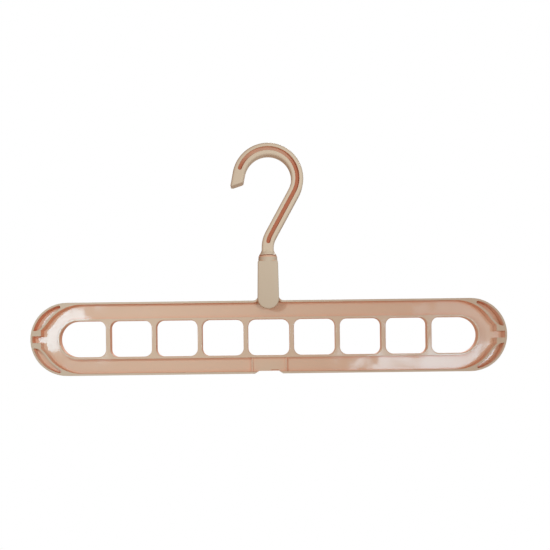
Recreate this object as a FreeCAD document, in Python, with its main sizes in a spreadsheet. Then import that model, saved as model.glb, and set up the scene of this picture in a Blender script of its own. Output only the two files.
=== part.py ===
import FreeCAD, Part
import math
import os
import re
from collections import namedtuple

import Sketcher

# A scarf hanger in millimetres: a long bar with nine openings, a neck of two half shells that the
# bar tilts in, and a hook that swivels in the neck. The origin is the point of the hook that rests
# on the rod, on the swivel axis. +X runs along the bar, +Z is up, and the bar's open side faces -Y.

SIZES = {
    # The bar: a tray with a tall outer rim and a smooth back.
    "bar_length": 355,
    "bar_height": 54.5,
    "bar_depth": 8.2,
    "channel_depth": 6.5,
    "rim_land": 1.5,
    "front_round": 0.4,
    "back_round": 1.4,
    # The openings, which share the bar's length, their own lower rim, and the bar left at each end.
    "hole_count": 9,
    "hole_height": 26.9,
    "divider": 3.5,
    "end_extra": 3.67,
    "hole_corner": 5.5,
    "hole_round": 0.7,
    "inner_land": 1.7,
    "inner_step": 2.4,
    "end_margin": 21,
    # The curved lips at each end, the pocket in each lip, and the slot between the lips.
    "lip_start": 38,
    "lip_radius": 30,
    "lip_turn": 55,
    "lip_return_radius": 34,
    "lip_return_turn": 14,
    "lip_wall": 1.5,
    "pocket_upper_turn": 31,
    "pocket_lower_turn": 12,
    "pocket_tail": 2.2,
    "pocket_tail_radius": 6,
    "slot_width": 5,
    # The pad and the seat notch under the middle of the bar.
    "pad_width": 26.6,
    "pad_rib": 1.2,
    "pad_rise": 1.9,
    "pad_step": 0.7,
    "notch_width": 15,
    "notch_shoulder": 3,
    "notch_depth": 1.9,
    "slit_start": 1.6,
    "slit_length": 5.6,
    "slit_height": 1.1,
    "slit_depth": 2.2,
    # The tilt pivot: its height above the bar's top edge, the lug on the bar, and the pin.
    "pivot_rise": 1.5,
    "lug_radius": 8,
    "lug_fillet": 3.5,
    "boss_radius": 5,
    "pin_diameter": 5,
    "pin_chamfer": 0.4,
    "pin_play": 0.06,
    "pin_grip": 0.02,
    "pin_end_gap": 0.1,
    "socket_depth": 1.5,
    # The neck shells.
    "cheek_radius": 8,
    "cheek_thickness": 2.9,
    "fork_play": 0.3,
    "fork_rise": 18.2,
    "block_rise": 27.7,
    "block_top_width": 15,
    "neck_round": 1,
    "collar_height": 4,
    "collar_radius": 7.25,
    "collar_draft": 0.3,
    "peg_diameter": 2.4,
    "peg_length": 3.2,
    "peg_spacing": 9.6,
    "peg_rise": 20.6,
    "peg_gap": 0.05,
    "peg_end_gap": 0.3,
    # The swivel between hook and neck.
    "swivel_gap": 0.6,
    "spigot_radius": 3.5,
    "spigot_play": 0.08,
    "ceiling_depth": 5.6,
    "flange_radius": 5.2,
    "flange_thickness": 2.4,
    "flange_play": 0.15,
    "flange_side_gap": 0.4,
    "flange_floor_gap": 0.4,
    # The hook.
    "hook_inner_radius": 17.5,
    "hook_offset": 0.7,
    "hook_width": 9,
    "hook_depth": 9,
    "hook_round": 2,
    "stem_angle": 29,
    "bend_radius": 20,
    "stem_straight": 0.6,
    "tip_angle": 11,
    "tip_length": 11.5,
    "tip_cut": 5,
    "tip_round": 0.8,
    "groove_width": 3,
    "groove_depth": 2.5,
    "groove_bend": 16,
    "groove_stop": 9,
    "foot_radius": 6.5,
    "foot_rim": 0.5,
    "foot_flare": 4.5,
    "foot_waist": 4.4,
}

# What follows from the sizes, in the sheet's own formulas, each after the ones that it uses.
DERIVED = {
    "hook_radius": "hook_inner_radius + hook_width / 2",
    "hook_half_width": "hook_width / 2",
    "hook_half_depth": "hook_depth / 2",
    "stem_x": "hook_offset + hook_radius * cos(stem_angle)",
    "stem_z": "-hook_inner_radius - hook_radius * sin(stem_angle)",
    "bend_reach": "bend_radius * tan(stem_angle / 2)",
    "bend_corner": "stem_z - stem_x / tan(stem_angle)",
    "bend_low": "bend_corner - bend_reach",
    "bend_high_x": "bend_reach * sin(stem_angle)",
    "bend_high_z": "bend_corner + bend_reach * cos(stem_angle)",
    "tip_start_x": "hook_offset - hook_radius * cos(tip_angle)",
    "tip_start_z": "-hook_inner_radius + hook_radius * sin(tip_angle)",
    "tip_x": "tip_start_x - tip_length * sin(tip_angle)",
    "tip_z": "tip_start_z - tip_length * cos(tip_angle)",
    "tip_outer_x": "tip_x - hook_half_width * cos(tip_angle)",
    "tip_outer_z": "tip_z + hook_half_width * sin(tip_angle)",
    "tip_inner_x": "tip_x + hook_half_width * cos(tip_angle) + tip_cut * sin(tip_angle)",
    "tip_inner_z": "tip_z - hook_half_width * sin(tip_angle) + tip_cut * cos(tip_angle)",
    "groove_half": "groove_width / 2",
    "groove_angle": "stem_angle - groove_bend",
    "groove_out": "hook_radius + groove_half",
    "groove_in": "hook_radius - groove_half",
    "groove_bend_out": "bend_radius - groove_half",
    "groove_bend_in": "bend_radius + groove_half",
    "foot_top": "bend_low - stem_straight",
    "foot_edge": "foot_top - foot_flare",
    "foot_bottom": "foot_edge - foot_rim",
    "collar_top": "block_rise + collar_height",
    "pivot_drop": "collar_top + swivel_gap - foot_bottom",
    "half_height": "bar_height / 2",
    "half_length": "bar_length / 2",
    "end_centre": "half_length - half_height",
    "bar_drop": "pivot_drop + pivot_rise + half_height",
    "front_face": "bar_depth / 2",
    "channel_edge": "half_height - rim_land",
    "inner_edge": "hole_height / 2 + inner_land",
    "inner_end": "half_length - end_margin + inner_land",
    "inner_centre": "inner_end - inner_edge",
    "hole_reach": "half_length - end_margin",
    "hole_width": "(2 * hole_reach - (hole_count - 1) * divider - 2 * end_extra) / hole_count",
    "hole_pitch": "hole_width + divider",
    "hole_half": "hole_width / 2",
    "hole_side": "hole_height / 2",
    "last_pitch": "hole_pitch * (hole_count - 1) / 2",
    "square_left": "hole_pitch - last_pitch - hole_half",
    "square_right": "hole_pitch - last_pitch + hole_half",
    "end_hole_start": "last_pitch - hole_half",
    "lip_x": "half_length - lip_start",
    "lip_z": "channel_edge - lip_radius",
    "turn_x": "lip_x + lip_radius * sin(lip_turn)",
    "turn_z": "lip_z + lip_radius * cos(lip_turn)",
    "return_x": "turn_x + lip_return_radius * sin(lip_turn)",
    "return_z": "turn_z + lip_return_radius * cos(lip_turn)",
    "block_angle": "lip_turn - lip_return_turn",
    "block_x": "return_x - lip_return_radius * sin(block_angle)",
    "block_z": "return_z - lip_return_radius * cos(block_angle)",
    "slot_half": "slot_width / 2",
    "slot_end": "end_centre + sqrt(channel_edge ^ 2 - slot_half ^ 2)",
    "pocket_radius": "lip_radius + lip_wall",
    "pocket_return_radius": "lip_return_radius - lip_wall",
    "pocket_top_x": "lip_x + pocket_radius * sin(pocket_upper_turn)",
    "pocket_top_z": "lip_z + pocket_radius * cos(pocket_upper_turn)",
    "pocket_top_reach": "sqrt((pocket_top_x - end_centre) ^ 2 + pocket_top_z ^ 2)",
    "pocket_rim_x": "end_centre + (pocket_top_x - end_centre) * channel_edge / pocket_top_reach",
    "pocket_rim_z": "pocket_top_z * channel_edge / pocket_top_reach",
    "pocket_turn_x": "lip_x + pocket_radius * sin(lip_turn)",
    "pocket_turn_z": "lip_z + pocket_radius * cos(lip_turn)",
    "pocket_low_angle": "lip_turn - pocket_lower_turn",
    "pocket_low_x": "return_x - pocket_return_radius * sin(pocket_low_angle)",
    "pocket_low_z": "return_z - pocket_return_radius * cos(pocket_low_angle)",
    "pocket_tail_z": "pocket_low_z - pocket_tail",
    "pocket_tail_x": "end_centre + sqrt(channel_edge ^ 2 - pocket_tail_z ^ 2)",
    "pivot_height": "half_height + pivot_rise",
    "lug_reach": "lug_radius + lug_fillet",
    "lug_lift": "lug_fillet - pivot_rise",
    "lug_foot": "sqrt(lug_reach ^ 2 - lug_lift ^ 2)",
    "lug_touch_x": "lug_foot * lug_radius / lug_reach",
    "lug_touch_z": "pivot_height + lug_lift * lug_radius / lug_reach",
    "lug_inner_radius": "lug_radius - rim_land",
    "lug_inner_x": "lug_foot * lug_inner_radius / lug_reach",
    "lug_inner_z": "pivot_height + lug_lift * lug_inner_radius / lug_reach",
    "pad_half": "pad_width / 2",
    "notch_half": "notch_width / 2",
    "notch_top": "half_height - notch_depth",
    "slit_top": "notch_top - slit_height",
    "slit_end": "slit_start + slit_length",
    "rib_face": "front_face - channel_depth + pad_rise",
    "pad_face": "rib_face - pad_step",
    "fork_half": "front_face + fork_play",
    "neck_half": "fork_half + cheek_thickness",
    "block_half": "block_top_width / 2",
    "fork_root_half": "cheek_radius + (block_half - cheek_radius) * fork_rise / block_rise",
    "collar_top_radius": "collar_radius - collar_draft",
    "ceiling": "collar_top - ceiling_depth",
    "chamber_radius": "flange_radius + flange_side_gap",
    "chamber_floor": "ceiling - flange_play - flange_thickness - flange_floor_gap",
    "peg_half": "peg_spacing / 2",
    "pin_radius": "pin_diameter / 2",
    "pin_length": "2 * (fork_half + socket_depth - pin_end_gap)",
    "flange_top": "ceiling - flange_play - pivot_drop",
    "flange_bottom": "flange_top - flange_thickness",
}

doc = FreeCAD.newDocument("ScarfHanger")
sheet = doc.addObject("Spreadsheet::Sheet", "Sizes")

# An arc on the way from one corner of an outline to the next. turn is 1 for counter-clockwise and
# -1 for clockwise, and one of the other three is a formula.
Arc = namedtuple("Arc", "turn radius centre_x centre_y", defaults=(None, None, None))


def fill_sheet():
    """Write the sizes as plain numbers and what follows from them as formulas, each with its name."""
    cells = {name: str(size) for name, size in SIZES.items()}
    cells.update({name: "=" + text for name, text in DERIVED.items()})
    for row, (name, text) in enumerate(cells.items(), start=1):
        sheet.set(f"A{row}", name)
        sheet.set(f"B{row}", text)
        sheet.setAlias(f"B{row}", name)
    doc.recompute()


def formula(text):
    """Point each name in a formula at its cell in the sheet."""
    def cell(word):
        name = word.group()
        return f"Sizes.{name}" if name in SIZES or name in DERIVED else name
    return re.sub(r"[a-z_]\w*", cell, text)


def number(text):
    """Work a formula out."""
    return float(sheet.evalExpression(formula(text)))


def bind(thing, where, text):
    """Tie a property of an object, or a constraint of a sketch, to the sheet."""
    thing.setExpression(where, formula(text))


def origin_feature(body, role):
    """Find one of a body's own planes or axes."""
    return next(item for item in body.Origin.OriginFeatures if item.Role == role)


class Drawing:
    """A sketch whose corners, centres and radii are all tied to the sheet."""

    def __init__(self, body, name, plane="XZ_Plane", offset=None):
        self.sketch = body.newObject("Sketcher::SketchObject", name)
        self.sketch.AttachmentSupport = [(origin_feature(body, plane), "")]
        self.sketch.MapMode = "FlatFace"
        if offset:
            bind(self.sketch, "AttachmentOffset.Base.z", offset)

    def constrain(self, kind, *where, text=None):
        """Add one constraint, with its formula where it has one."""
        value = () if text is None else (number(text),)
        index = self.sketch.addConstraint(Sketcher.Constraint(kind, *where, *value))
        if text is not None:
            bind(self.sketch, f"Constraints[{index}]", text)

    def place(self, geometry, point, x=None, y=None):
        """Hold a point of the sketch at formulas, or on an axis where the formula is 0."""
        for text, axis, kind in ((x, -2, "DistanceX"), (y, -1, "DistanceY")):
            if text == "0":
                self.constrain("PointOnObject", geometry, point, axis)
            elif text is not None:
                self.constrain(kind, -1, 1, geometry, point, text=text)

    def circle(self, x, y, radius):
        """Draw a circle."""
        centre = FreeCAD.Vector(number(x), number(y), 0)
        ring = Part.Circle(centre, FreeCAD.Vector(0, 0, 1), number(radius))
        index = self.sketch.addGeometry(ring)
        self.place(index, 3, x, y)
        self.constrain("Radius", index, text=radius)

    def outline(self, *steps, closed=True):
        """Draw straight lines from corner to corner, and an arc where one stands between two corners."""
        corners = []
        arcs = {}
        for step in steps:
            if isinstance(step, Arc):
                arcs[len(corners) - 1] = step
            else:
                corners.append(step)
        points = [FreeCAD.Vector(number(x), number(y), 0) for x, y in corners]
        count = len(corners) if closed else len(corners) - 1
        edges = []
        for index in range(count):
            start = points[index]
            end = points[(index + 1) % len(points)]
            edges.append(self.edge(start, end, arcs.get(index)))
        for index, (geometry, first, last) in enumerate(edges):
            self.place(geometry, first, *corners[index])
            if closed or index + 1 < count:
                following = edges[(index + 1) % count]
                self.constrain("Coincident", geometry, last, following[0], following[1])
        if not closed:
            geometry, first, last = edges[-1]
            self.place(geometry, last, *corners[-1])

    def edge(self, start, end, arc):
        """Draw one side of an outline, and return it with the numbers of its first and last point."""
        if arc is None:
            return self.sketch.addGeometry(Part.LineSegment(start, end)), 1, 2
        centre = arc_centre(start, end, arc)
        ring = Part.Circle(centre, FreeCAD.Vector(0, 0, 1), (start - centre).Length)
        begin, finish = (start, end) if arc.turn > 0 else (end, start)
        angles = [math.atan2(point.y - centre.y, point.x - centre.x) for point in (begin, finish)]
        if angles[1] < angles[0]:
            angles[1] += 2 * math.pi
        index = self.sketch.addGeometry(Part.ArcOfCircle(ring, *angles))
        if arc.radius is not None:
            self.constrain("Radius", index, text=arc.radius)
        else:
            self.place(index, 3, arc.centre_x, arc.centre_y)
        return (index, 1, 2) if arc.turn > 0 else (index, 2, 1)


def arc_centre(start, end, arc):
    """Find an arc's centre, which lies on the line halfway between its ends."""
    middle = (start + end) / 2
    chord = end - start
    if arc.centre_x is not None:
        x = number(arc.centre_x)
        return FreeCAD.Vector(x, middle.y - (x - middle.x) * chord.x / chord.y, 0)
    if arc.centre_y is not None:
        y = number(arc.centre_y)
        return FreeCAD.Vector(middle.x - (y - middle.y) * chord.y / chord.x, y, 0)
    left = FreeCAD.Vector(-chord.y, chord.x, 0) / chord.Length
    return middle + left * arc.turn * math.sqrt(number(arc.radius) ** 2 - (chord.Length / 2) ** 2)


def new_body(name, drop="0"):
    """Start a sub-part whose own origin lies under the hook's bearing point by a formula."""
    body = doc.addObject("PartDesign::Body", name)
    body.Label = name
    bind(body, "Placement.Base.z", f"-({drop})")
    return body


def extrude(body, kind, name, drawing, length, symmetric=False, backward=False):
    """Pad or pocket a drawing, and check that it changed the solid the right way."""
    doc.recompute()
    before = body.Shape.Volume if body.Tip and not body.Shape.isNull() else 0
    feature = body.newObject(f"PartDesign::{kind}", name)
    feature.Profile = drawing.sketch
    if length == "through":
        feature.Type = "ThroughAll"
    else:
        bind(feature, "Length", length)
    feature.SideType = "Symmetric" if symmetric else "One side"
    feature.Reversed = backward
    doc.recompute()
    check_change(kind, name, before, body.Shape.Volume)
    return feature


def turn(body, kind, name, drawing, angle=360, backward=False):
    """Revolve or groove a drawing about the body's upright axis."""
    doc.recompute()
    before = body.Shape.Volume if body.Tip and not body.Shape.isNull() else 0
    feature = body.newObject(f"PartDesign::{kind}", name)
    feature.Profile = drawing.sketch
    feature.ReferenceAxis = (origin_feature(body, "Z_Axis"), [""])
    feature.Angle = angle
    feature.Reversed = backward
    doc.recompute()
    check_change(kind, name, before, body.Shape.Volume)
    return feature


def check_change(kind, name, before, after):
    """Stop if a cut removed nothing, or if an addition added nothing."""
    grew = after > before
    if grew == (kind in ("Pocket", "Groove")) or math.isclose(after, before):
        raise RuntimeError(f"{name}: volume went from {before:.1f} to {after:.1f}")


def mirror(body, name, features, plane):
    """Repeat features on the other side of one of the body's planes."""
    copy = body.newObject("PartDesign::Mirrored", name)
    copy.Originals = features
    copy.MirrorPlane = (origin_feature(body, plane), [""])
    body.Tip = copy
    doc.recompute()


def round_edges(body, name, radius, chosen):
    """Fillet the edges whose points all pass a test."""
    doc.recompute()
    base = body.Tip
    names = []
    for index, edge in enumerate(base.Shape.Edges, start=1):
        if all(chosen(point) for point in edge.discretize(5)):
            names.append(f"Edge{index}")
    fillet = body.newObject("PartDesign::Fillet", name)
    fillet.Base = (base, names)
    bind(fillet, "Radius", radius)
    doc.recompute()


def on(value, target):
    """Tell whether a coordinate is the wanted one, within a hair."""
    return abs(value - target) < 0.001


def flipped(steps):
    """Return the steps of an outline mirrored top to bottom and taken the other way round."""
    turned = []
    for step in reversed(steps):
        if isinstance(step, Arc):
            centre_y = None if step.centre_y is None else f"-({step.centre_y})"
            turned.append(step._replace(centre_y=centre_y))
        else:
            turned.append((step[0], f"-({step[1]})"))
    return turned


def bar_blank(body):
    """Pad the bar's outline, round ended, with the lug rising from the middle of its top edge."""
    outline = Drawing(body, "BarOutline")
    outline.outline(
        ("-end_centre", "half_height"),
        ("-lug_foot", "half_height"),
        Arc(1, radius="lug_fillet"),
        ("-lug_touch_x", "lug_touch_z"),
        Arc(-1, radius="lug_radius"),
        ("lug_touch_x", "lug_touch_z"),
        Arc(1, radius="lug_fillet"),
        ("lug_foot", "half_height"),
        ("end_centre", "half_height"),
        Arc(-1, centre_x="end_centre"),
        ("end_centre", "-half_height"),
        ("-end_centre", "-half_height"),
        Arc(-1, centre_x="-end_centre"),
    )
    extrude(body, "Pad", "BarBlank", outline, "bar_depth", symmetric=True)
    front = number("front_face")
    round_edges(body, "FrontEdge", "front_round", lambda point: on(point.y, -front))
    round_edges(body, "BackEdge", "back_round", lambda point: on(point.y, front))


def bar_channel(body):
    """Sink the channel between the outer rim and the openings, and the pocket in each end lip."""
    lip = [
        ("0", "channel_edge"),
        ("lip_x", "channel_edge"),
        Arc(-1, radius="lip_radius"),
        ("turn_x", "turn_z"),
        Arc(1, radius="lip_return_radius"),
        ("block_x", "block_z"),
        ("block_x", "slot_half"),
        ("slot_end", "slot_half"),
    ]
    half = Drawing(body, "ChannelHalf", offset="front_face")
    half.outline(
        ("0", "inner_edge"),
        *lip,
        Arc(-1, radius="channel_edge"),
        *flipped(lip),
        ("0", "-inner_edge"),
        ("inner_centre", "-inner_edge"),
        Arc(1, centre_x="inner_centre"),
        ("inner_centre", "inner_edge"),
    )
    channel = extrude(body, "Pocket", "Channel", half, "channel_depth")
    pocket = [
        ("pocket_tail_x", "pocket_tail_z"),
        Arc(1, radius="channel_edge"),
        ("pocket_rim_x", "pocket_rim_z"),
        Arc(1, centre_x="(pocket_rim_x + pocket_top_x) / 2"),
        ("pocket_top_x", "pocket_top_z"),
        Arc(-1, radius="pocket_radius"),
        ("pocket_turn_x", "pocket_turn_z"),
        Arc(1, radius="pocket_return_radius"),
        ("pocket_low_x", "pocket_low_z"),
    ]
    end = Drawing(body, "LipPockets", offset="front_face")
    end.outline(*pocket, Arc(1, radius="pocket_tail_radius"))
    end.outline(*flipped(pocket), Arc(1, radius="pocket_tail_radius"))
    pockets = extrude(body, "Pocket", "LipPocket", end, "channel_depth")
    mirror(body, "OtherEnd", [channel, pockets], "YZ_Plane")


def bar_lug(body):
    """Hollow the lug behind its own rim, and stand the pivot boss in it with its bore."""
    hollow = Drawing(body, "LugHollow", offset="front_face")
    hollow.outline(
        ("-lug_foot", "channel_edge"),
        Arc(1, radius="lug_fillet + rim_land"),
        ("-lug_inner_x", "lug_inner_z"),
        Arc(-1, radius="lug_inner_radius"),
        ("lug_inner_x", "lug_inner_z"),
        Arc(1, radius="lug_fillet + rim_land"),
        ("lug_foot", "channel_edge"),
        ("lug_foot", "inner_edge"),
        ("-lug_foot", "inner_edge"),
    )
    extrude(body, "Pocket", "LugRecess", hollow, "channel_depth")
    boss = Drawing(body, "BossCircle", offset="front_face")
    boss.circle("0", "pivot_height", "boss_radius")
    extrude(body, "Pad", "PivotBoss", boss, "channel_depth", backward=True)
    bore = Drawing(body, "BoreCircle")
    bore.circle("0", "pivot_height", "pin_radius + pin_play")
    extrude(body, "Pocket", "PivotBore", bore, "2 * bar_depth", symmetric=True)


def bar_openings(body):
    """Lower the rim round the openings, and cut the openings: round ended ones outside, square inside."""
    step = Drawing(body, "InnerRim", offset="front_face")
    step.outline(
        ("-inner_centre", "inner_edge"),
        ("inner_centre", "inner_edge"),
        Arc(-1, centre_x="inner_centre"),
        ("inner_centre", "-inner_edge"),
        ("-inner_centre", "-inner_edge"),
        Arc(-1, centre_x="-inner_centre"),
    )
    extrude(body, "Pocket", "InnerRimStep", step, "inner_step")
    square = Drawing(body, "SquareOpening")
    square.outline(
        ("square_left + hole_corner", "hole_side"),
        ("square_right - hole_corner", "hole_side"),
        Arc(-1, radius="hole_corner"),
        ("square_right", "hole_side - hole_corner"),
        ("square_right", "hole_corner - hole_side"),
        Arc(-1, radius="hole_corner"),
        ("square_right - hole_corner", "-hole_side"),
        ("square_left + hole_corner", "-hole_side"),
        Arc(-1, radius="hole_corner"),
        ("square_left", "hole_corner - hole_side"),
        ("square_left", "hole_side - hole_corner"),
        Arc(-1, radius="hole_corner"),
    )
    opening = extrude(body, "Pocket", "Opening", square, "2 * bar_depth", symmetric=True)
    row = body.newObject("PartDesign::LinearPattern", "OpeningRow")
    row.Originals = [opening]
    row.Direction = (origin_feature(body, "X_Axis"), [""])
    row.Mode = "Spacing"
    bind(row, "Offset", "hole_pitch")
    bind(row, "Occurrences", "hole_count - 2")
    body.Tip = row
    doc.recompute()
    rounded = Drawing(body, "EndOpening")
    rounded.outline(
        ("end_hole_start + hole_corner", "hole_side"),
        ("hole_reach - hole_side", "hole_side"),
        Arc(-1, centre_x="hole_reach - hole_side"),
        ("hole_reach - hole_side", "-hole_side"),
        ("end_hole_start + hole_corner", "-hole_side"),
        Arc(-1, radius="hole_corner"),
        ("end_hole_start", "hole_corner - hole_side"),
        ("end_hole_start", "hole_side - hole_corner"),
        Arc(-1, radius="hole_corner"),
    )
    end = extrude(body, "Pocket", "RoundOpening", rounded, "2 * bar_depth", symmetric=True)
    mirror(body, "OtherRoundOpening", [end], "YZ_Plane")
    reach = number("hole_reach") + 0.01
    side = number("hole_side") + 0.01
    faces = (number("inner_step - front_face"), number("front_face"))
    round_edges(
        body, "OpeningEdges", "hole_round",
        lambda point: abs(point.x) < reach and abs(point.z) < side
        and any(on(point.y, face) for face in faces),
    )


def bar_pad(body):
    """Fill the channel under the middle opening, rib it at both ends, and cut the seat notch below."""
    fill = Drawing(body, "PadBlock", offset="rib_face")
    fill.outline(
        ("-pad_half", "-inner_edge"),
        ("pad_half", "-inner_edge"),
        ("pad_half", "-channel_edge"),
        ("-pad_half", "-channel_edge"),
    )
    extrude(body, "Pad", "Pad", fill, "pad_rise", backward=True)
    sunk = Drawing(body, "PadRecess", offset="rib_face")
    sunk.outline(
        ("pad_rib - pad_half", "-inner_edge"),
        ("pad_half - pad_rib", "-inner_edge"),
        ("pad_half - pad_rib", "-channel_edge"),
        ("pad_rib - pad_half", "-channel_edge"),
    )
    extrude(body, "Pocket", "PadFloor", sunk, "pad_step")
    seat = Drawing(body, "NotchOutline")
    seat.outline(
        ("-notch_half", "-notch_top"),
        ("notch_half", "-notch_top"),
        ("notch_half + notch_shoulder", "-half_height"),
        ("notch_half + notch_shoulder", "-half_height - notch_depth"),
        ("-notch_half - notch_shoulder", "-half_height - notch_depth"),
        ("-notch_half - notch_shoulder", "-half_height"),
    )
    extrude(body, "Pocket", "SeatNotch", seat, "2 * bar_depth", symmetric=True)
    slit = Drawing(body, "SlitOutline", offset="front_face")
    slit.outline(
        ("slit_start", "-slit_top"),
        ("slit_end", "-slit_top"),
        ("slit_end", "-half_height"),
        ("slit_start", "-half_height"),
    )
    extrude(body, "Pocket", "NotchSlit", slit, "front_face - pad_face + slit_depth")


def make_bar():
    """The bar: one moulding."""
    body = new_body("bar_frame", "bar_drop")
    bar_blank(body)
    bar_channel(body)
    bar_lug(body)
    bar_openings(body)
    bar_pad(body)
    return body


def make_pin():
    """The cross pin that the bar tilts on."""
    body = new_body("pivot_pin", "pivot_drop")
    section = Drawing(body, "PinCircle")
    section.circle("0", "0", "pin_radius")
    rod = extrude(body, "Pad", "PinRod", section, "pin_length", symmetric=True)
    ends = body.newObject("PartDesign::Chamfer", "PinEnds")
    rims = [f"Edge{index}" for index, edge in enumerate(rod.Shape.Edges, start=1) if edge.Closed]
    ends.Base = (rod, rims)
    bind(ends, "Size", "pin_chamfer")
    return body


def make_shell(name, side):
    """One half of the neck, with its origin on the pivot. side is -1 for the near half, 1 for the far."""
    body = new_body(name, "pivot_drop")
    near = side < 0
    sign = "" if near else "-"
    cheek = Drawing(body, "CheekOutline", offset=f"{sign}fork_half")
    cheek.outline(
        ("-block_half", "block_rise"),
        ("block_half", "block_rise"),
        ("cheek_radius", "0"),
        Arc(-1, centre_y="0"),
        ("-cheek_radius", "0"),
    )
    extrude(body, "Pad", "Cheek", cheek, "cheek_thickness", backward=not near)
    block = Drawing(body, "BlockOutline")
    block.outline(
        ("-block_half", "block_rise"),
        ("block_half", "block_rise"),
        ("fork_root_half", "fork_rise"),
        ("-fork_root_half", "fork_rise"),
    )
    extrude(body, "Pad", "Block", block, "neck_half", backward=not near)
    outside = side * number("neck_half")
    corner = number("block_half")
    top = number("block_rise")
    round_edges(
        body, "FaceEdges", "neck_round",
        lambda point: on(point.y, outside) or (on(abs(point.x), corner) and on(point.z, top)),
    )
    collar = Drawing(body, "CollarSection")
    collar.outline(
        ("0", "ceiling"),
        ("collar_radius", "ceiling"),
        ("collar_radius", "block_rise"),
        ("collar_top_radius", "collar_top"),
        ("0", "collar_top"),
    )
    turn(body, "Revolution", "Collar", collar, 180, backward=near)
    cavity = Drawing(body, "SwivelSection")
    cavity.outline(
        ("0", "collar_top + swivel_gap"),
        ("spigot_radius + spigot_play", "collar_top + swivel_gap"),
        ("spigot_radius + spigot_play", "ceiling"),
        ("chamber_radius", "ceiling"),
        ("chamber_radius", "chamber_floor"),
        ("0", "chamber_floor"),
    )
    turn(body, "Groove", "SwivelCavity", cavity)
    socket = Drawing(body, "PinSocketCircle", offset=f"{sign}fork_half")
    socket.circle("0", "0", "pin_radius + pin_grip")
    extrude(body, "Pocket", "PinSocket", socket, "socket_depth", backward=near)
    pegs = Drawing(body, "PegCircles")
    gap = "" if near else " + peg_gap"
    for place in ("peg_half", "-peg_half"):
        pegs.circle(place, "peg_rise", f"peg_diameter / 2{gap}")
    if near:
        extrude(body, "Pad", "Pegs", pegs, "peg_length", backward=True)
    else:
        extrude(body, "Pocket", "PegSockets", pegs, "peg_length + peg_end_gap")
    return body


def hook_rod(body):
    """Sweep the hook's rounded section from the foot, round the crown, to the tip, and cut the tip."""
    path = Drawing(body, "HookPath")
    path.outline(
        ("0", "foot_edge"),
        ("0", "bend_low"),
        Arc(-1, centre_x="bend_radius"),
        ("bend_high_x", "bend_high_z"),
        ("stem_x", "stem_z"),
        Arc(1, centre_x="hook_offset"),
        ("tip_start_x", "tip_start_z"),
        ("tip_x", "tip_z"),
        closed=False,
    )
    section = Drawing(body, "HookSection", plane="XY_Plane", offset="foot_edge")
    section.outline(
        ("hook_round - hook_half_width", "hook_half_depth"),
        ("hook_half_width - hook_round", "hook_half_depth"),
        Arc(-1, radius="hook_round"),
        ("hook_half_width", "hook_half_depth - hook_round"),
        ("hook_half_width", "hook_round - hook_half_depth"),
        Arc(-1, radius="hook_round"),
        ("hook_half_width - hook_round", "-hook_half_depth"),
        ("hook_round - hook_half_width", "-hook_half_depth"),
        Arc(-1, radius="hook_round"),
        ("-hook_half_width", "hook_round - hook_half_depth"),
        ("-hook_half_width", "hook_half_depth - hook_round"),
        Arc(-1, radius="hook_round"),
    )
    doc.recompute()
    rod = body.newObject("PartDesign::AdditivePipe", "HookRod")
    rod.Profile = section.sketch
    rod.Spine = (path.sketch, [])
    doc.recompute()
    slope = Drawing(body, "TipCutOutline")
    slope.outline(
        ("tip_outer_x", "tip_outer_z"),
        ("2 * tip_inner_x - tip_outer_x", "2 * tip_inner_z - tip_outer_z"),
        ("2 * tip_inner_x - tip_outer_x", "tip_outer_z - hook_width"),
        ("tip_outer_x", "tip_outer_z - hook_width"),
    )
    extrude(body, "Pocket", "TipCut", slope, "2 * hook_depth", symmetric=True)
    outer = FreeCAD.Vector(number("tip_outer_x"), 0, number("tip_outer_z"))
    inner = FreeCAD.Vector(number("tip_inner_x"), 0, number("tip_inner_z"))
    normal = (inner - outer).cross(FreeCAD.Vector(0, 1, 0)).normalize()
    round_edges(body, "TipEdges", "tip_round", lambda point: on((point - outer).dot(normal), 0))


def hook_groove(body):
    """Sink the groove that runs along both faces of the hook."""
    def on_crown(radius, angle):
        return (f"hook_offset + {radius} * cos({angle})", f"{radius} * sin({angle}) - hook_inner_radius")

    def on_bend(radius, angle):
        return (f"bend_radius - {radius} * cos({angle})", f"bend_low + {radius} * sin({angle})")

    crown_end = "180 - tip_angle - groove_stop"
    crown_out = on_crown("groove_out", crown_end)
    crown_in = on_crown("groove_in", crown_end)
    low_out = on_bend("groove_bend_out", "groove_angle")
    low_in = on_bend("groove_bend_in", "groove_angle")
    groove = Drawing(body, "GrooveOutline", offset="hook_half_depth")
    groove.outline(
        crown_out,
        Arc(-1, centre_x="hook_offset"),
        on_crown("groove_out", "-stem_angle"),
        on_bend("groove_bend_out", "stem_angle"),
        Arc(1, centre_x="bend_radius"),
        low_out,
        Arc(-1, centre_y=f"({low_out[1]} + {low_in[1]}) / 2"),
        low_in,
        Arc(-1, centre_x="bend_radius"),
        on_bend("groove_bend_in", "stem_angle"),
        on_crown("groove_in", "-stem_angle"),
        Arc(1, centre_x="hook_offset"),
        crown_in,
        Arc(-1, centre_y=f"({crown_out[1]} + {crown_in[1]}) / 2"),
    )
    front = extrude(body, "Pocket", "Groove", groove, "groove_depth")
    mirror(body, "BackGroove", [front], "XZ_Plane")


def make_hook():
    """The hook: one moulding, down to the flange that turns inside the neck."""
    body = new_body("hook")
    hook_rod(body)
    hook_groove(body)
    foot = Drawing(body, "FootSection")
    foot.outline(
        ("0", "foot_top"),
        ("foot_waist", "foot_top"),
        Arc(1, radius="2 * foot_flare"),
        ("foot_radius", "foot_edge"),
        ("foot_radius", "foot_bottom"),
        ("spigot_radius", "foot_bottom"),
        ("spigot_radius", "flange_top"),
        ("flange_radius", "flange_top"),
        ("flange_radius", "flange_bottom"),
        ("0", "flange_bottom"),
    )
    turn(body, "Revolution", "Foot", foot)
    return body


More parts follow.
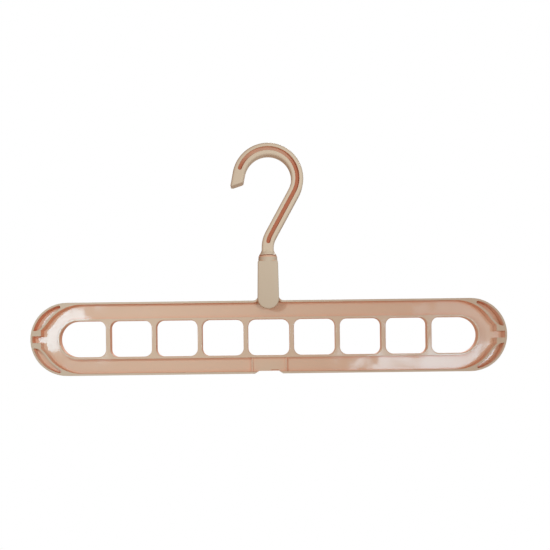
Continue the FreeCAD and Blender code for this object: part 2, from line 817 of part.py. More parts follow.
def check_and_export(bodies):
    """Stop on any failed object or bad solid, then write each sub-part to its own file."""
    doc.recompute()
    for item in doc.Objects:
        if "Invalid" in item.State or "Error" in item.State:
            raise RuntimeError(f"{item.Label} failed: {item.State}")
    for body in bodies:
        shape = body.Shape
        if shape.isNull() or not shape.isValid() or len(shape.Solids) != 1:
            raise RuntimeError(f"{body.Label} is not one valid solid")
    os.makedirs("parts", exist_ok=True)
    for body in bodies:
        body.Shape.exportStep(f"parts/{body.Label}.step")
        print(f"{body.Label}: {body.Shape.Volume / 1000:.2f} cm3, {body.Shape.BoundBox}")


def main():
    fill_sheet()
    check_and_export([
        make_hook(),
        make_shell("neck_front_shell", -1),
        make_shell("neck_rear_shell", 1),
        make_pin(),
        make_bar(),
    ])


main()
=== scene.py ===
"""Finishes and studio for a moulded scarf hanger whose bar tilts and whose hook swivels."""

import math

import bmesh
import bpy
from bpy.props import FloatProperty, FloatVectorProperty, PointerProperty
from bpy.types import Operator, Panel, PropertyGroup
from mathutils import Matrix, Vector


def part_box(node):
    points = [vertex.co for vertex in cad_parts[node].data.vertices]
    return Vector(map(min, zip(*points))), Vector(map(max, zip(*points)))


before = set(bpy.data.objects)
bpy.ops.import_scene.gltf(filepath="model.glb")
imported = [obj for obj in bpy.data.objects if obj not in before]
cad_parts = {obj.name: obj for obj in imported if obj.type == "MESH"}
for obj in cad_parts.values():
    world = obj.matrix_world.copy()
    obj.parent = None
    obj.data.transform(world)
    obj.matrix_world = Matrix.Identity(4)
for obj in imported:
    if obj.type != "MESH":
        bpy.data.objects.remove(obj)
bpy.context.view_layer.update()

bl_info = {
    "name": "Scarf Hanger",
    "version": (1, 0, 0),
    "blender": (4, 5, 0),
    "location": "View3D > Sidebar > Scarf Hanger",
    "description": "Finishes and studio for a tilting scarf hanger with a swivel hook",
    "category": "Object",
}

IMAGE_SIDE = 550
SENSOR = 36.0

# What the lamps are turned to, in metres from the hook's bearing point.
BAR_MIDDLE = (0, 0, -0.13)
HOOK_MIDDLE = (0, 0, -0.045)
BELOW_BAR = (0, 0, -0.3)

# The y of a normal, from faces that look to the front to faces that don't.
FRONT_FACING = (-0.85, -0.35)
# The same without its sign, from faces that look sideways to faces that don't.
SIDE_FACING = (0.35, 0.85)
# How open a place is to its surroundings, from deep corners that take the painted shade fully to
# places that take none.
CORNER_OPENNESS = (0.50, 0.95)

# Depths behind a front face, in metres, where a place begins to be sunken and where it fully is.
SUNKEN_START = 0.0004
SUNKEN_FULL = 0.0016
BAR_SUNKEN_START = 0.0003
BAR_SUNKEN_FULL = 0.0032
# Where the bar's rim ends, in metres inside its outline.
RIM_INNER = 0.0010
RIM_OUTER = 0.0005
# Where shade is painted on the collar's rim, in metres under its top.
COLLAR_RIM_FOOT = 0.0016
COLLAR_RIM_FULL = 0.0008
# The heights between which the painted shade in the hook's groove fades towards the crown, where
# light reaches it.
CROWN_HEIGHT = (-0.010, 0.004)
# Where the bar's painted wall shade turns paler as painted light, in metres from its ends, and
# under its middle at the left end.
PALE_START = 0.022
PALE_FULL = 0.008
PALE_LOW = 0.004

# How strong the painted shade is on the collar's rim, at the hook's crown and in the bar's corners.
COLLAR_RIM_SHADE = 0.7
CROWN_GROOVE_SHADE = 0.6
BAR_CORNER_SHADE = 0.4

# How fine each pattern is, in noise cells to the metre.
CLOUD_SCALE = 28.0
SINK_SCALE = 40.0
SMUDGE_SCALE = 55.0
RUB_SCALE = 90.0
STREAK_SCALE = 260.0
TOOTH_SCALE = 400.0
STAIN_SCALE = 500.0
LINE_SCALE = 2200.0
GRAIN_SCALE = 3500.0

# How much of its colour each pattern brings, and the shade of the darker colour.
CLOUD_AMOUNT = 0.35
CLOUD_SHADE = 0.95
STREAK_AMOUNT = 0.12
RUB_AMOUNT = 0.45
STAIN_AMOUNT = 0.4
STAIN_SHADE = 0.7
TOOTH_AMOUNT = 0.3
TOOTH_SHADE = 0.97
# What smudges make of the roughness, at least and at most.
SMUDGE_AMOUNT = (0.85, 1.35)
# What is left of the grain on polished floors.
POLISHED_GRAIN = 0.15
# The height of the studio floor's tooth, in metres.
TOOTH_DEPTH = 0.0002
FLOOR_ROUGHNESS = 0.85
PLASTIC_IOR = 1.58

# The colour sockets of a mix node, which share their names with its other sockets.
MIX_FIRST_COLOUR = 6
MIX_SECOND_COLOUR = 7
MIX_RESULT_COLOUR = 2


class HangerPlastic(PropertyGroup):
    """The moulded plastic of the hook, the neck and the bar."""

    body_colour: FloatVectorProperty(
        name="Body colour",
        description="Colour of the open faces of the mouldings",
        subtype="COLOR", size=3, min=0, max=1, default=(0.78, 0.613, 0.45),
    )
    # Painted light: the hook's colour is painted brighter than the body's to make up for the light
    # it gets.
    hook_lit_colour: FloatVectorProperty(
        name="Hook colour",
        description="Colour of the open faces of the hook, which is moulded on its own",
        subtype="COLOR", size=3, min=0, max=1, default=(0.88, 0.685, 0.50),
    )
    # Painted light: the sunken floors are painted warmer for the light their walls bounce onto
    # them.
    floor_colour: FloatVectorProperty(
        name="Floor colour",
        description="Colour of the sunken floors, warmed by the walls round them",
        subtype="COLOR", size=3, min=0, max=1, default=(0.845, 0.612, 0.44),
    )
    # Painted shade: walls of channels and pockets, seams and corners take this deep orange of
    # shaded plastic.
    wall_shade_colour: FloatVectorProperty(
        name="Wall colour",
        description="Colour the plastic gathers on the walls of channels and pockets",
        subtype="COLOR", size=3, min=0, max=1, default=(0.98, 0.51, 0.315),
    )
    # Painted light: a paler wall shade for pocket walls that get more light.
    lit_wall_colour: FloatVectorProperty(
        name="Pale wall colour",
        description="Colour of the pocket walls at the right end and low at the left end",
        subtype="COLOR", size=3, min=0, max=1, default=(1.0, 0.67, 0.49),
    )
    worn_colour: FloatVectorProperty(
        name="Worn colour",
        description="Colour of edges that handling has rubbed pale",
        subtype="COLOR", size=3, min=0, max=1, default=(0.83, 0.70, 0.56),
    )
    # Painted shade: the bottom of the hook's groove is painted dark as the shade in it.
    groove_shade_colour: FloatVectorProperty(
        name="Groove colour",
        description="Colour at the bottom of the hook's groove",
        subtype="COLOR", size=3, min=0, max=1, default=(0.57, 0.20, 0.105),
    )
    # Painted shade: the reach within which corners take the painted wall shade.
    corner_shade_reach: FloatProperty(
        name="Corner reach",
        description="How near other faces stand where plastic gathers the wall colour",
        unit="LENGTH", min=0, default=0.003,
    )
    hook_face: FloatProperty(
        name="Hook face",
        description="How far the hook's flat face lies in front of the middle plane",
        unit="LENGTH", min=0, default=0.0045,
    )
    bar_height: FloatProperty(
        name="Bar height",
        description="Height of the bar's round-ended outline, without its lug",
        unit="LENGTH", min=0, default=0.0545,
    )
    edge_round: FloatProperty(
        name="Edge round",
        description="Softening of the moulded edges in the shading",
        unit="LENGTH", min=0, default=0.0003,
    )
    floor_roughness: FloatProperty(
        name="Floor roughness",
        description="Roughness of the sunken faces, which keep the mould's polish",
        subtype="FACTOR", min=0, max=1, default=0.10,
    )
    face_roughness: FloatProperty(
        name="Face roughness",
        description="Roughness of the other faces, which are handled and rubbed",
        subtype="FACTOR", min=0, max=1, default=0.52,
    )
    sink_depth: FloatProperty(
        name="Sink depth",
        description="Height of the slow waves that cooling leaves in flat faces",
        unit="LENGTH", min=0, default=0.0008,
    )
    grain_depth: FloatProperty(
        name="Grain depth",
        description="Height of the fine grain of the mould surface",
        unit="LENGTH", min=0, default=0.000004,
    )


class HangerSteel(PropertyGroup):
    """The drawn steel of the pivot pin."""

    colour: FloatVectorProperty(
        name="Steel colour",
        description="Colour of the drawn steel",
        subtype="COLOR", size=3, min=0, max=1, default=(0.46, 0.46, 0.47),
    )
    roughness: FloatProperty(
        name="Roughness",
        description="Roughness of the drawn surface between its lines",
        subtype="FACTOR", min=0, max=1, default=0.3,
    )
    line_depth: FloatProperty(
        name="Line depth",
        description="Depth of the drawing lines along the pin",
        unit="LENGTH", min=0, default=0.000008,
    )


class HangerStudio(PropertyGroup):
    """The camera, the lamps, the white room and the floor."""

    camera_distance: FloatProperty(
        name="Camera distance",
        description="From the lens to the hanger's middle plane",
        unit="LENGTH", min=0, default=0.43,
    )
    camera_height: FloatProperty(
        name="Camera height",
        description="Height of the lens above the hook's bearing point",
        unit="LENGTH", default=-0.15,
    )
    camera_roll: FloatProperty(
        name="Camera roll",
        description="Clockwise turn of the camera about its own line of sight",
        subtype="ANGLE", default=math.radians(0.695),
    )
    focal_pixels: FloatProperty(
        name="Focal length in pixels",
        description="Focal length as pixels of the square image",
        min=1, default=572.5,
    )
    sight_x: FloatProperty(
        name="Sight point across",
        description="Pixels from the image's left edge to the line of sight",
        default=269.0,
    )
    sight_y: FloatProperty(
        name="Sight point down",
        description="Pixels from the image's top edge to the line of sight",
        default=355.8,
    )
    key_power: FloatProperty(
        name="Key power",
        description="Power of the lamp in front of the bar's left end",
        unit="POWER", min=0, default=0.152,
    )
    fill_power: FloatProperty(
        name="Fill power",
        description="Power of the broader lamp in front of the bar's right half",
        unit="POWER", min=0, default=0.82,
    )
    left_window_power: FloatProperty(
        name="Left window power",
        description="Power of the small pane that shines in the bar's left end",
        unit="POWER", min=0, default=0.54,
    )
    right_window_power: FloatProperty(
        name="Right window power",
        description="Power of the low pane that shines in the bottom rail",
        unit="POWER", min=0, default=0.78,
    )
    right_wall_power: FloatProperty(
        name="Right wall power",
        description="Power of the broad dim pane that shines in the bar's right end",
        unit="POWER", min=0, default=0.30,
    )
    hook_power: FloatProperty(
        name="Hook power",
        description="Power of the lamp in front of the hook and the neck",
        unit="POWER", min=0, default=0.37,
    )
    hook_light: FloatVectorProperty(
        name="Hook light",
        description="Colour of the lamp in front of the hook and the neck",
        subtype="COLOR", size=3, min=0, max=2, default=(0.70, 0.93, 1.06),
    )
    back_power: FloatProperty(
        name="Back power",
        description="Power of the lamp high up behind, for the back and the floor",
        unit="POWER", min=0, default=7.0,
    )
    lamp_colour: FloatVectorProperty(
        name="Lamp colour",
        description="Colour of the fill lamp and of the lamp behind",
        subtype="COLOR", size=3, min=0, max=2, default=(0.92, 0.93, 0.96),
    )
    day_colour: FloatVectorProperty(
        name="Day colour",
        description="Colour of the key lamp and of the panes that shine in the bar",
        subtype="COLOR", size=3, min=0, max=2, default=(0.63, 0.93, 1.10),
    )
    sky_colour: FloatVectorProperty(
        name="Sky colour",
        description="Colour of the white room's light",
        subtype="COLOR", size=3, min=0, max=2, default=(1.0, 0.76, 0.62),
    )
    side_sky: FloatProperty(
        name="Side sky",
        description="Brightness of the white room at the sides",
        min=0, default=0.15,
    )
    front_sky: FloatProperty(
        name="Front sky",
        description="How much brighter the white room is in front and behind",
        min=0, default=0.43,
    )
    left_sky: FloatProperty(
        name="Left sky",
        description="How much brighter the room is on the left, and dimmer on the right",
        min=0, default=0.08,
    )
    floor_drop: FloatProperty(
        name="Floor drop",
        description="How far the floor lies under the hook's bearing point",
        unit="LENGTH", min=0, default=0.62,
    )
    floor_radius: FloatProperty(
        name="Floor radius",
        description="Radius of the round floor",
        unit="LENGTH", min=0, default=0.85,
    )
    floor_colour: FloatVectorProperty(
        name="Floor colour",
        description="Colour of the pale floor",
        subtype="COLOR", size=3, min=0, max=1, default=(0.9, 0.9, 0.89),
    )

class NodeSheet:
    """A short way to write a material's nodes and the links between them."""

    def __init__(self, tree):
        self.tree = tree
        self.tree.nodes.clear()

    def feed(self, socket, value):
        """Set a socket to a plain value, or link it to the socket that feeds it."""
        if isinstance(value, bpy.types.NodeSocket):
            self.tree.links.new(value, socket)
        else:
            socket.default_value = value

    def add(self, kind, inputs=None, **settings):
        """Add a node. An input is a plain value, or the socket that feeds it."""
        node = self.tree.nodes.new("ShaderNode" + kind)
        for name, value in settings.items():
            setattr(node, name, value)
        for name, value in (inputs or {}).items():
            self.feed(node.inputs[name], value)
        return node

    def parts(self, vector):
        """The X, Y and Z of a vector."""
        return self.add("SeparateXYZ", {"Vector": vector}).outputs

    def noise(self, place, scale, detail=3.0, roughness=0.5, stretch=(1, 1, 1)):
        """Noise in metres, drawn out along an axis by a small stretch there."""
        mapping = self.add("Mapping", {"Vector": place, "Scale": stretch})
        texture = self.add(
            "TexNoise",
            {
                "Vector": mapping.outputs["Vector"],
                "Scale": scale,
                "Detail": detail,
                "Roughness": roughness,
            },
        )
        return texture.outputs["Fac"]

    def span(self, value, low, high, to_low, to_high):
        """Carry a value from one span to another, and hold it there."""
        node = self.add(
            "MapRange",
            {
                "Value": value,
                "From Min": low,
                "From Max": high,
                "To Min": to_low,
                "To Max": to_high,
            },
            interpolation_type="SMOOTHSTEP",
        )
        return node.outputs["Result"]

    def blend(self, amount, first, second):
        """Mix two colours by an amount."""
        node = self.add("Mix", {"Factor": amount}, data_type="RGBA")
        self.feed(node.inputs[MIX_FIRST_COLOUR], first)
        self.feed(node.inputs[MIX_SECOND_COLOUR], second)
        return node.outputs[MIX_RESULT_COLOUR]

    def math(self, operation, first, second=0.0):
        """One sum on a value, or on two."""
        node = self.add("Math", {0: first, 1: second}, operation=operation)
        return node.outputs["Value"]

    def bump(self, height, depth, normal):
        """Raise the surface by a height from 0 to 1 times a depth."""
        node = self.add(
            "Bump",
            {"Strength": 1.0, "Distance": depth, "Height": height, "Normal": normal},
        )
        return node.outputs["Normal"]


def opaque(colour, shade=1.0):
    """A colour times a shade, with full alpha, as colour sockets want it."""
    return (*(tone * shade for tone in colour), 1.0)


def new_material(name):
    """Start a node material with an empty sheet."""
    material = bpy.data.materials.new(name)
    material.use_nodes = True
    return material, NodeSheet(material.node_tree)


def dress(node, material):
    """Give a CAD node its one material."""
    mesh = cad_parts[node].data
    mesh.materials.clear()
    mesh.materials.append(material)


def front_face(node):
    """The y of a CAD node's front face."""
    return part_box(node)[0].y


def corner_shade(sheet):
    """How much painted shade a place takes in a groove, in a seam or at a wall's foot, by how near
    faces stand.
    """
    reach = bpy.context.scene.hanger_plastic.corner_shade_reach
    openness = sheet.add("AmbientOcclusion", {"Distance": reach}, samples=12).outputs["AO"]
    return sheet.span(openness, *CORNER_OPENNESS, 1.0, 0.0)


def neck_recesses(sheet, place, _facing):
    """
    How far each place on the neck is floor and wall, and the wall's colour. The neck has no floor.
    Its seams and the collar's rim take the wall colour as painted shade.
    """
    finish = bpy.context.scene.hanger_plastic
    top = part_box("neck_front_shell")[1].z
    height = sheet.parts(place)["Z"]
    # Painted shade on the collar's rim.
    rim = sheet.span(height, top - COLLAR_RIM_FOOT, top - COLLAR_RIM_FULL, 0.0, COLLAR_RIM_SHADE)
    wall = sheet.math("MAXIMUM", corner_shade(sheet), rim)
    return 0.0, wall, opaque(finish.wall_shade_colour)


def hook_recesses(sheet, place, facing):
    """
    How far each place on the hook is floor and wall, and the wall's colour. The bottom of the
    groove is floor, painted dark as shade and fainter at the crown, where light reaches it; the
    groove's sides and the seams take the wall colour as painted shade.
    """
    finish = bpy.context.scene.hanger_plastic
    face = -finish.hook_face
    spread = sheet.parts(place)
    front = sheet.span(facing, *FRONT_FACING, 1.0, 0.0)
    sunken = sheet.span(spread["Y"], face + SUNKEN_START, face + SUNKEN_FULL, 0.0, 1.0)
    floor = sheet.math("MULTIPLY", front, sunken)
    # Painted shade in the groove, fading towards the crown.
    floor = sheet.math("MULTIPLY", floor, sheet.span(spread["Z"], *CROWN_HEIGHT, 1.0, CROWN_GROOVE_SHADE))
    wall = sheet.math("SUBTRACT", corner_shade(sheet), front)
    return floor, wall, opaque(finish.wall_shade_colour)


def bar_recesses(sheet, place, facing):
    """
    How far each place on the bar is floor and wall, and the wall's colour, all painted light and
    shade. Both lie inside the rim's outline. The walls and corners take painted shade, which is
    painted paler, as painted light, at the right end and low at the left end.
    """
    finish = bpy.context.scene.hanger_plastic
    low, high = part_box("bar_frame")
    radius = finish.bar_height / 2
    spread = sheet.parts(place)

    across = sheet.math("ABSOLUTE", spread["X"])
    beyond = sheet.math("MAXIMUM", sheet.math("SUBTRACT", across, high.x - radius), 0.0)
    above = sheet.math("SUBTRACT", spread["Z"], low.z + radius)
    offset = sheet.add("CombineXYZ", {"X": beyond, "Z": above}).outputs["Vector"]
    out = sheet.add("VectorMath", {0: offset}, operation="LENGTH").outputs["Value"]
    inside = sheet.span(out, radius - RIM_INNER, radius - RIM_OUTER, 1.0, 0.0)

    front = sheet.span(facing, *FRONT_FACING, 1.0, 0.0)
    sunken = sheet.span(
        spread["Y"], low.y + BAR_SUNKEN_START, low.y + BAR_SUNKEN_FULL, 0.0, 1.0,
    )
    # Painted light: sunken floors inside the rim take the floor colour, painted warmer for bounce
    # light.
    floor = sheet.math("MULTIPLY", inside, sheet.math("MULTIPLY", front, sunken))
    side = sheet.span(sheet.math("ABSOLUTE", facing), *SIDE_FACING, 1.0, 0.0)
    # Painted shade in the bar's corners.
    corner = sheet.math("MULTIPLY", corner_shade(sheet), BAR_CORNER_SHADE)
    wall = sheet.math("MAXIMUM", sheet.math("MULTIPLY", inside, side), corner)

    # Painted light: the wall shade turns paler where walls get more light, at the right end and low
    # at the left end.
    right_end = sheet.span(spread["X"], high.x - PALE_START, high.x - PALE_FULL, 0.0, 1.0)
    left_end = sheet.span(spread["X"], low.x + PALE_FULL, low.x + PALE_START, 1.0, 0.0)
    low_half = sheet.span(above, -PALE_LOW, 0.0, 1.0, 0.0)
    pale = sheet.math("MAXIMUM", right_end, sheet.math("MULTIPLY", left_end, low_half))
    wall_shade_colour = sheet.blend(pale, opaque(finish.wall_shade_colour), opaque(finish.lit_wall_colour))
    return floor, wall, wall_shade_colour


def moulded_plastic(name, flow, front, floor_roughness, body_colour, floor_colour, recesses):
    """
    Semi-gloss moulded plastic. flow is small along the axis that the melt ran, so streaks follow
    it. front is the y of the piece's front face. body_colour is for open faces, floor_colour is
    painted on sunken floors, as bounce light on the bar and as shade in the hook's groove, and
    recesses finds the floors and the walls, whose colour is painted shade.
    """
    finish = bpy.context.scene.hanger_plastic
    worn = opaque(finish.worn_colour)
    material, sheet = new_material(name)
    coordinates = sheet.add("TexCoord")
    place = coordinates.outputs["Object"]
    geometry = sheet.add("NewGeometry")

    cloud = sheet.noise(place, CLOUD_SCALE, detail=4.0)
    streak = sheet.noise(place, STREAK_SCALE, stretch=flow)
    colour = sheet.blend(
        sheet.span(cloud, 0.3, 0.7, 0.0, CLOUD_AMOUNT),
        opaque(body_colour), opaque(body_colour, CLOUD_SHADE),
    )
    colour = sheet.blend(sheet.span(streak, 0.45, 0.75, 0.0, STREAK_AMOUNT), colour, worn)

    softened = sheet.add("Bevel", {"Radius": finish.edge_round}, samples=4).outputs["Normal"]
    flatness = sheet.add(
        "VectorMath", {0: softened, 1: geometry.outputs["Normal"]}, operation="DOT_PRODUCT",
    )
    rubbed = sheet.math(
        "MULTIPLY",
        sheet.span(flatness.outputs["Value"], 0.80, 0.995, RUB_AMOUNT, 0.0),
        sheet.span(sheet.noise(place, RUB_SCALE), 0.35, 0.65, 0.35, 1.0),
    )
    colour = sheet.blend(rubbed, colour, worn)

    facing = sheet.parts(coordinates.outputs["Normal"])["Y"]
    # Painted light and shade: floors take the floor colour, and walls, seams and corners take the
    # painted wall shade.
    floor, wall, wall_shade_colour = recesses(sheet, place, facing)
    colour = sheet.blend(floor, colour, opaque(floor_colour))
    colour = sheet.blend(wall, colour, wall_shade_colour)

    polish = sheet.span(
        sheet.parts(place)["Y"], front + SUNKEN_START, front + SUNKEN_FULL,
        finish.face_roughness, floor_roughness,
    )
    dull_wall = sheet.math("MULTIPLY", wall, finish.face_roughness)
    dull_back = sheet.span(facing, *FRONT_FACING, 0.0, finish.face_roughness)
    polish = sheet.math("MAXIMUM", sheet.math("MAXIMUM", polish, dull_wall), dull_back)
    smudge = sheet.noise(place, SMUDGE_SCALE, detail=5.0, roughness=0.6)
    roughness = sheet.math("MULTIPLY", polish, sheet.span(smudge, 0.35, 0.7, *SMUDGE_AMOUNT))

    normal = sheet.bump(sheet.noise(place, SINK_SCALE, detail=1.0), finish.sink_depth, softened)
    polished_grain = finish.grain_depth * POLISHED_GRAIN
    grain = sheet.span(floor, 0.0, 1.0, finish.grain_depth, polished_grain)
    normal = sheet.bump(sheet.noise(place, GRAIN_SCALE, detail=2.0), grain, normal)

    shader = sheet.add(
        "BsdfPrincipled",
        {"Base Color": colour, "Roughness": roughness, "IOR": PLASTIC_IOR, "Normal": normal},
    )
    sheet.add("OutputMaterial", {"Surface": shader.outputs["BSDF"]})
    return material


def drawn_steel(name):
    """Drawn steel with fine lines along the pin."""
    finish = bpy.context.scene.hanger_steel
    material, sheet = new_material(name)
    place = sheet.add("TexCoord").outputs["Object"]
    normal = sheet.add("NewGeometry").outputs["Normal"]
    lines = sheet.noise(place, LINE_SCALE, detail=2.0, stretch=(1, 0.02, 1))
    stain = sheet.noise(place, STAIN_SCALE, detail=4.0)
    colour = sheet.blend(
        sheet.span(stain, 0.4, 0.75, 0.0, STAIN_AMOUNT),
        opaque(finish.colour), opaque(finish.colour, STAIN_SHADE),
    )
    smoothest, roughest = finish.roughness - 0.06, finish.roughness + 0.1
    shader = sheet.add(
        "BsdfPrincipled",
        {
            "Base Color": colour,
            "Metallic": 1.0,
            "Roughness": sheet.span(lines, 0.3, 0.7, smoothest, roughest),
            "Normal": sheet.bump(lines, finish.line_depth, normal),
        },
    )
    sheet.add("OutputMaterial", {"Surface": shader.outputs["BSDF"]})
    return material


class HANGER_OT_finish_bar(Operator):
    """Finish the long bar, whose melt ran out from its middle to both ends"""

    bl_idname = "hanger.finish_bar"
    bl_label = "Finish the Bar"

    def execute(self, context):
        finish = context.scene.hanger_plastic
        dress("bar_frame", moulded_plastic(
            "bar_plastic", (0.06, 1, 1), front_face("bar_frame"),
            finish.floor_roughness, finish.body_colour, finish.floor_colour, bar_recesses,
        ))
        return {"FINISHED"}


class HANGER_OT_finish_neck(Operator):
    """Finish the two half shells of the neck"""

    bl_idname = "hanger.finish_neck"
    bl_label = "Finish the Neck"

    def execute(self, context):
        finish = context.scene.hanger_plastic
        plastic = moulded_plastic(
            "neck_plastic", (1, 1, 0.12), front_face("neck_front_shell"),
            finish.face_roughness, finish.body_colour, finish.floor_colour, neck_recesses,
        )
        dress("neck_front_shell", plastic)
        dress("neck_rear_shell", plastic)
        return {"FINISHED"}


class HANGER_OT_finish_hook(Operator):
    """Finish the swivel hook"""

    bl_idname = "hanger.finish_hook"
    bl_label = "Finish the Hook"

    def execute(self, context):
        finish = context.scene.hanger_plastic
        # The hook's open faces are painted brighter as painted light.
        dress("hook", moulded_plastic(
            "hook_plastic", (0.5, 1, 0.25), front_face("hook"),
            finish.face_roughness, finish.hook_lit_colour, finish.groove_shade_colour, hook_recesses,
        ))
        return {"FINISHED"}


class HANGER_OT_finish_pin(Operator):
    """Finish the cross pin that the bar tilts on"""

    bl_idname = "hanger.finish_pin"
    bl_label = "Finish the Pin"

    def execute(self, context):
        dress("pivot_pin", drawn_steel("pin_steel"))
        return {"FINISHED"}


def soft_lamp(name, place, target, size, power, colour, mirrored=True):
    """A rectangular lamp that faces a point. It isn't seen itself, but gloss may mirror it."""
    lamp = bpy.data.lights.new(name, "AREA")
    lamp.shape = "RECTANGLE"
    lamp.size, lamp.size_y = size
    lamp.energy = power
    lamp.color = colour
    holder = bpy.data.objects.new(name, lamp)
    bpy.context.collection.objects.link(holder)
    holder.location = place
    holder.rotation_euler = (Vector(target) - Vector(place)).to_track_quat("-Z", "Y").to_euler()
    holder.visible_camera = False
    holder.visible_glossy = mirrored
    return holder


def shine_on(name, nodes, lamps):
    """Let some lamps light only some of the CAD nodes."""
    lit = bpy.data.collections.new(name)
    for node in nodes:
        lit.objects.link(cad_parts[node])
    for lamp in lamps:
        lamp.light_linking.receiver_collection = lit


def bar_lamps(studio):
    """Two lamps that light the bar from the front, and three panes that its polish mirrors."""
    day = studio.day_colour
    shine_on("bar_light", ("bar_frame",), (
        soft_lamp(
            "key_lamp", place=(-0.142, -0.20, -0.079), target=BAR_MIDDLE, size=(0.03, 0.03),
            power=studio.key_power, colour=day, mirrored=False,
        ),
        soft_lamp(
            "fill_lamp", place=(0.25, -0.80, -0.136), target=BAR_MIDDLE, size=(0.15, 0.15),
            power=studio.fill_power, colour=studio.lamp_colour, mirrored=False,
        ),
        soft_lamp(
            "left_window", place=(-0.578, -1.13, -0.065), target=BAR_MIDDLE, size=(0.155, 0.13),
            power=studio.left_window_power, colour=day,
        ),
        soft_lamp(
            "right_window", place=(0.42, -1.13, -0.20), target=BAR_MIDDLE, size=(0.34, 0.11),
            power=studio.right_window_power, colour=day,
        ),
        soft_lamp(
            "right_wall", place=(0.56, -1.13, -0.12), target=BAR_MIDDLE, size=(0.25, 0.30),
            power=studio.right_wall_power, colour=day,
        ),
    ))


def hook_lamp(studio):
    """The one lamp in front of the hook and the neck, which keeps the thin hook free of noise."""
    lamp = soft_lamp(
        "hook_lamp", place=(0.09, -0.25, -0.03), target=HOOK_MIDDLE, size=(0.05, 0.05),
        power=studio.hook_power, colour=studio.hook_light, mirrored=False,
    )
    nodes = ("hook", "neck_front_shell", "neck_rear_shell", "pivot_pin")
    shine_on("hook_light", nodes, (lamp,))


def back_lamp(studio):
    """The lamp high up behind, which lights everything."""
    soft_lamp(
        "back_lamp", place=(0.25, 0.85, 0.60), target=BELOW_BAR, size=(0.5, 0.5),
        power=studio.back_power, colour=studio.lamp_colour,
    )


def white_room(side, front, left, colour):
    """
    A white room: full white to the eye and softer as light, brighter in front and behind, and
    brighter on the left than on the right.
    """
    world = bpy.data.worlds.new("white_room")
    world.use_nodes = True
    sheet = NodeSheet(world.node_tree)
    heading = sheet.parts(sheet.add("TexCoord").outputs["Generated"])
    ahead = sheet.math("MULTIPLY", sheet.math("MULTIPLY", heading["Y"], heading["Y"]), front)
    across = sheet.math("SUBTRACT", side, sheet.math("MULTIPLY", heading["X"], left))
    strength = sheet.math("ADD", ahead, across)
    lit = sheet.add("Background", {"Color": opaque(colour), "Strength": strength})
    seen = sheet.add("Background", {"Color": (1, 1, 1, 1), "Strength": 1.0})
    by_eye = sheet.add("LightPath").outputs["Is Camera Ray"]
    mixed = sheet.add("MixShader", {0: by_eye, 1: lit.outputs[0], 2: seen.outputs[0]})
    sheet.add("OutputWorld", {"Surface": mixed.outputs[0]})
    bpy.context.scene.world = world


def pale_floor(drop, radius, colour):
    """A plain round floor, well under the hanging bar."""
    mesh = bpy.data.meshes.new("floor")
    disc = bmesh.new()
    bmesh.ops.create_circle(disc, cap_ends=True, segments=96, radius=radius)
    disc.to_mesh(mesh)
    disc.free()
    floor = bpy.data.objects.new("floor", mesh)
    bpy.context.collection.objects.link(floor)
    floor.location = (0, 0, -drop)
    material, sheet = new_material("floor_paper")
    place = sheet.add("TexCoord").outputs["Object"]
    tooth = sheet.noise(place, TOOTH_SCALE, detail=4.0)
    tone = sheet.blend(
        sheet.span(tooth, 0.3, 0.7, 0.0, TOOTH_AMOUNT),
        opaque(colour), opaque(colour, TOOTH_SHADE),
    )
    normal = sheet.bump(tooth, TOOTH_DEPTH, sheet.add("NewGeometry").outputs["Normal"])
    shader = sheet.add(
        "BsdfPrincipled", {"Base Color": tone, "Roughness": FLOOR_ROUGHNESS, "Normal": normal},
    )
    sheet.add("OutputMaterial", {"Surface": shader.outputs["BSDF"]})
    mesh.materials.append(material)


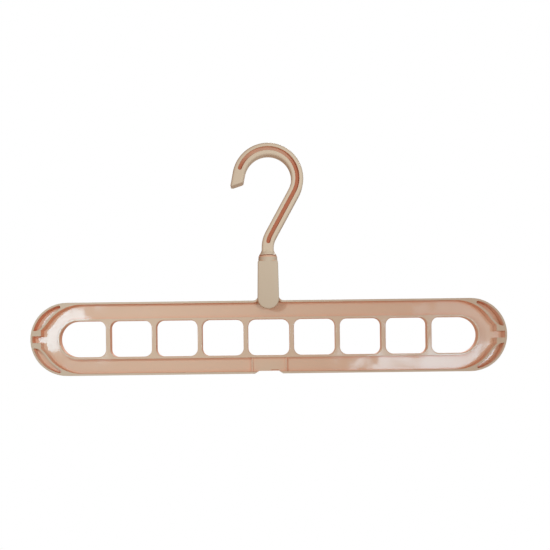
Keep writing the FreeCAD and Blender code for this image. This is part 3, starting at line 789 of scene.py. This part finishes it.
def photo_camera(studio):
    """The photo's camera: level, a little rolled, with its line of sight where the photo has it."""
    lens = bpy.data.cameras.new("camera")
    lens.sensor_width = SENSOR
    lens.lens = studio.focal_pixels / IMAGE_SIDE * SENSOR
    lens.shift_x = (IMAGE_SIDE / 2 - studio.sight_x) / IMAGE_SIDE
    lens.shift_y = (studio.sight_y - IMAGE_SIDE / 2) / IMAGE_SIDE
    lens.clip_start = 0.01
    camera = bpy.data.objects.new("camera", lens)
    bpy.context.collection.objects.link(camera)
    level = Matrix.Rotation(math.pi / 2, 4, "X")
    roll = Matrix.Rotation(-studio.camera_roll, 4, "Z")
    place = Matrix.Translation((0, -studio.camera_distance, studio.camera_height))
    camera.matrix_world = place @ level @ roll
    bpy.context.scene.camera = camera


class HANGER_OT_set_studio(Operator):
    """Set up the camera, the lamps, the white room and the floor"""

    bl_idname = "hanger.set_studio"
    bl_label = "Set Up the Studio"

    def execute(self, context):
        studio = context.scene.hanger_studio
        bar_lamps(studio)
        hook_lamp(studio)
        back_lamp(studio)
        white_room(studio.side_sky, studio.front_sky, studio.left_sky, studio.sky_colour)
        pale_floor(studio.floor_drop, studio.floor_radius, studio.floor_colour)
        photo_camera(studio)
        context.scene.view_settings.view_transform = "Standard"
        return {"FINISHED"}


class HANGER_PT_sidebar(Panel):
    """The hanger's finishes and studio in the sidebar"""

    bl_idname = "HANGER_PT_sidebar"
    bl_label = "Scarf Hanger"
    bl_space_type = "VIEW_3D"
    bl_region_type = "UI"
    bl_category = "Scarf Hanger"

    def draw(self, context):
        for name in GROUPS:
            group = getattr(context.scene, name)
            box = self.layout.box()
            for setting in group.__annotations__:
                box.prop(group, setting)
        for operator in STEPS:
            self.layout.operator(operator.bl_idname)


GROUPS = {
    "hanger_plastic": HangerPlastic,
    "hanger_steel": HangerSteel,
    "hanger_studio": HangerStudio,
}
STEPS = (
    HANGER_OT_finish_bar,
    HANGER_OT_finish_neck,
    HANGER_OT_finish_hook,
    HANGER_OT_finish_pin,
    HANGER_OT_set_studio,
)


def register():
    for name, group in GROUPS.items():
        bpy.utils.register_class(group)
        setattr(bpy.types.Scene, name, PointerProperty(type=group))
    for operator in STEPS:
        bpy.utils.register_class(operator)
    bpy.utils.register_class(HANGER_PT_sidebar)


def unregister():
    bpy.utils.unregister_class(HANGER_PT_sidebar)
    for operator in reversed(STEPS):
        bpy.utils.unregister_class(operator)
    for name, group in GROUPS.items():
        delattr(bpy.types.Scene, name)
        bpy.utils.unregister_class(group)


def main():
    register()
    bpy.ops.hanger.finish_bar()
    bpy.ops.hanger.finish_neck()
    bpy.ops.hanger.finish_hook()
    bpy.ops.hanger.finish_pin()
    bpy.ops.hanger.set_studio()


if __name__ == "__main__":
    main()
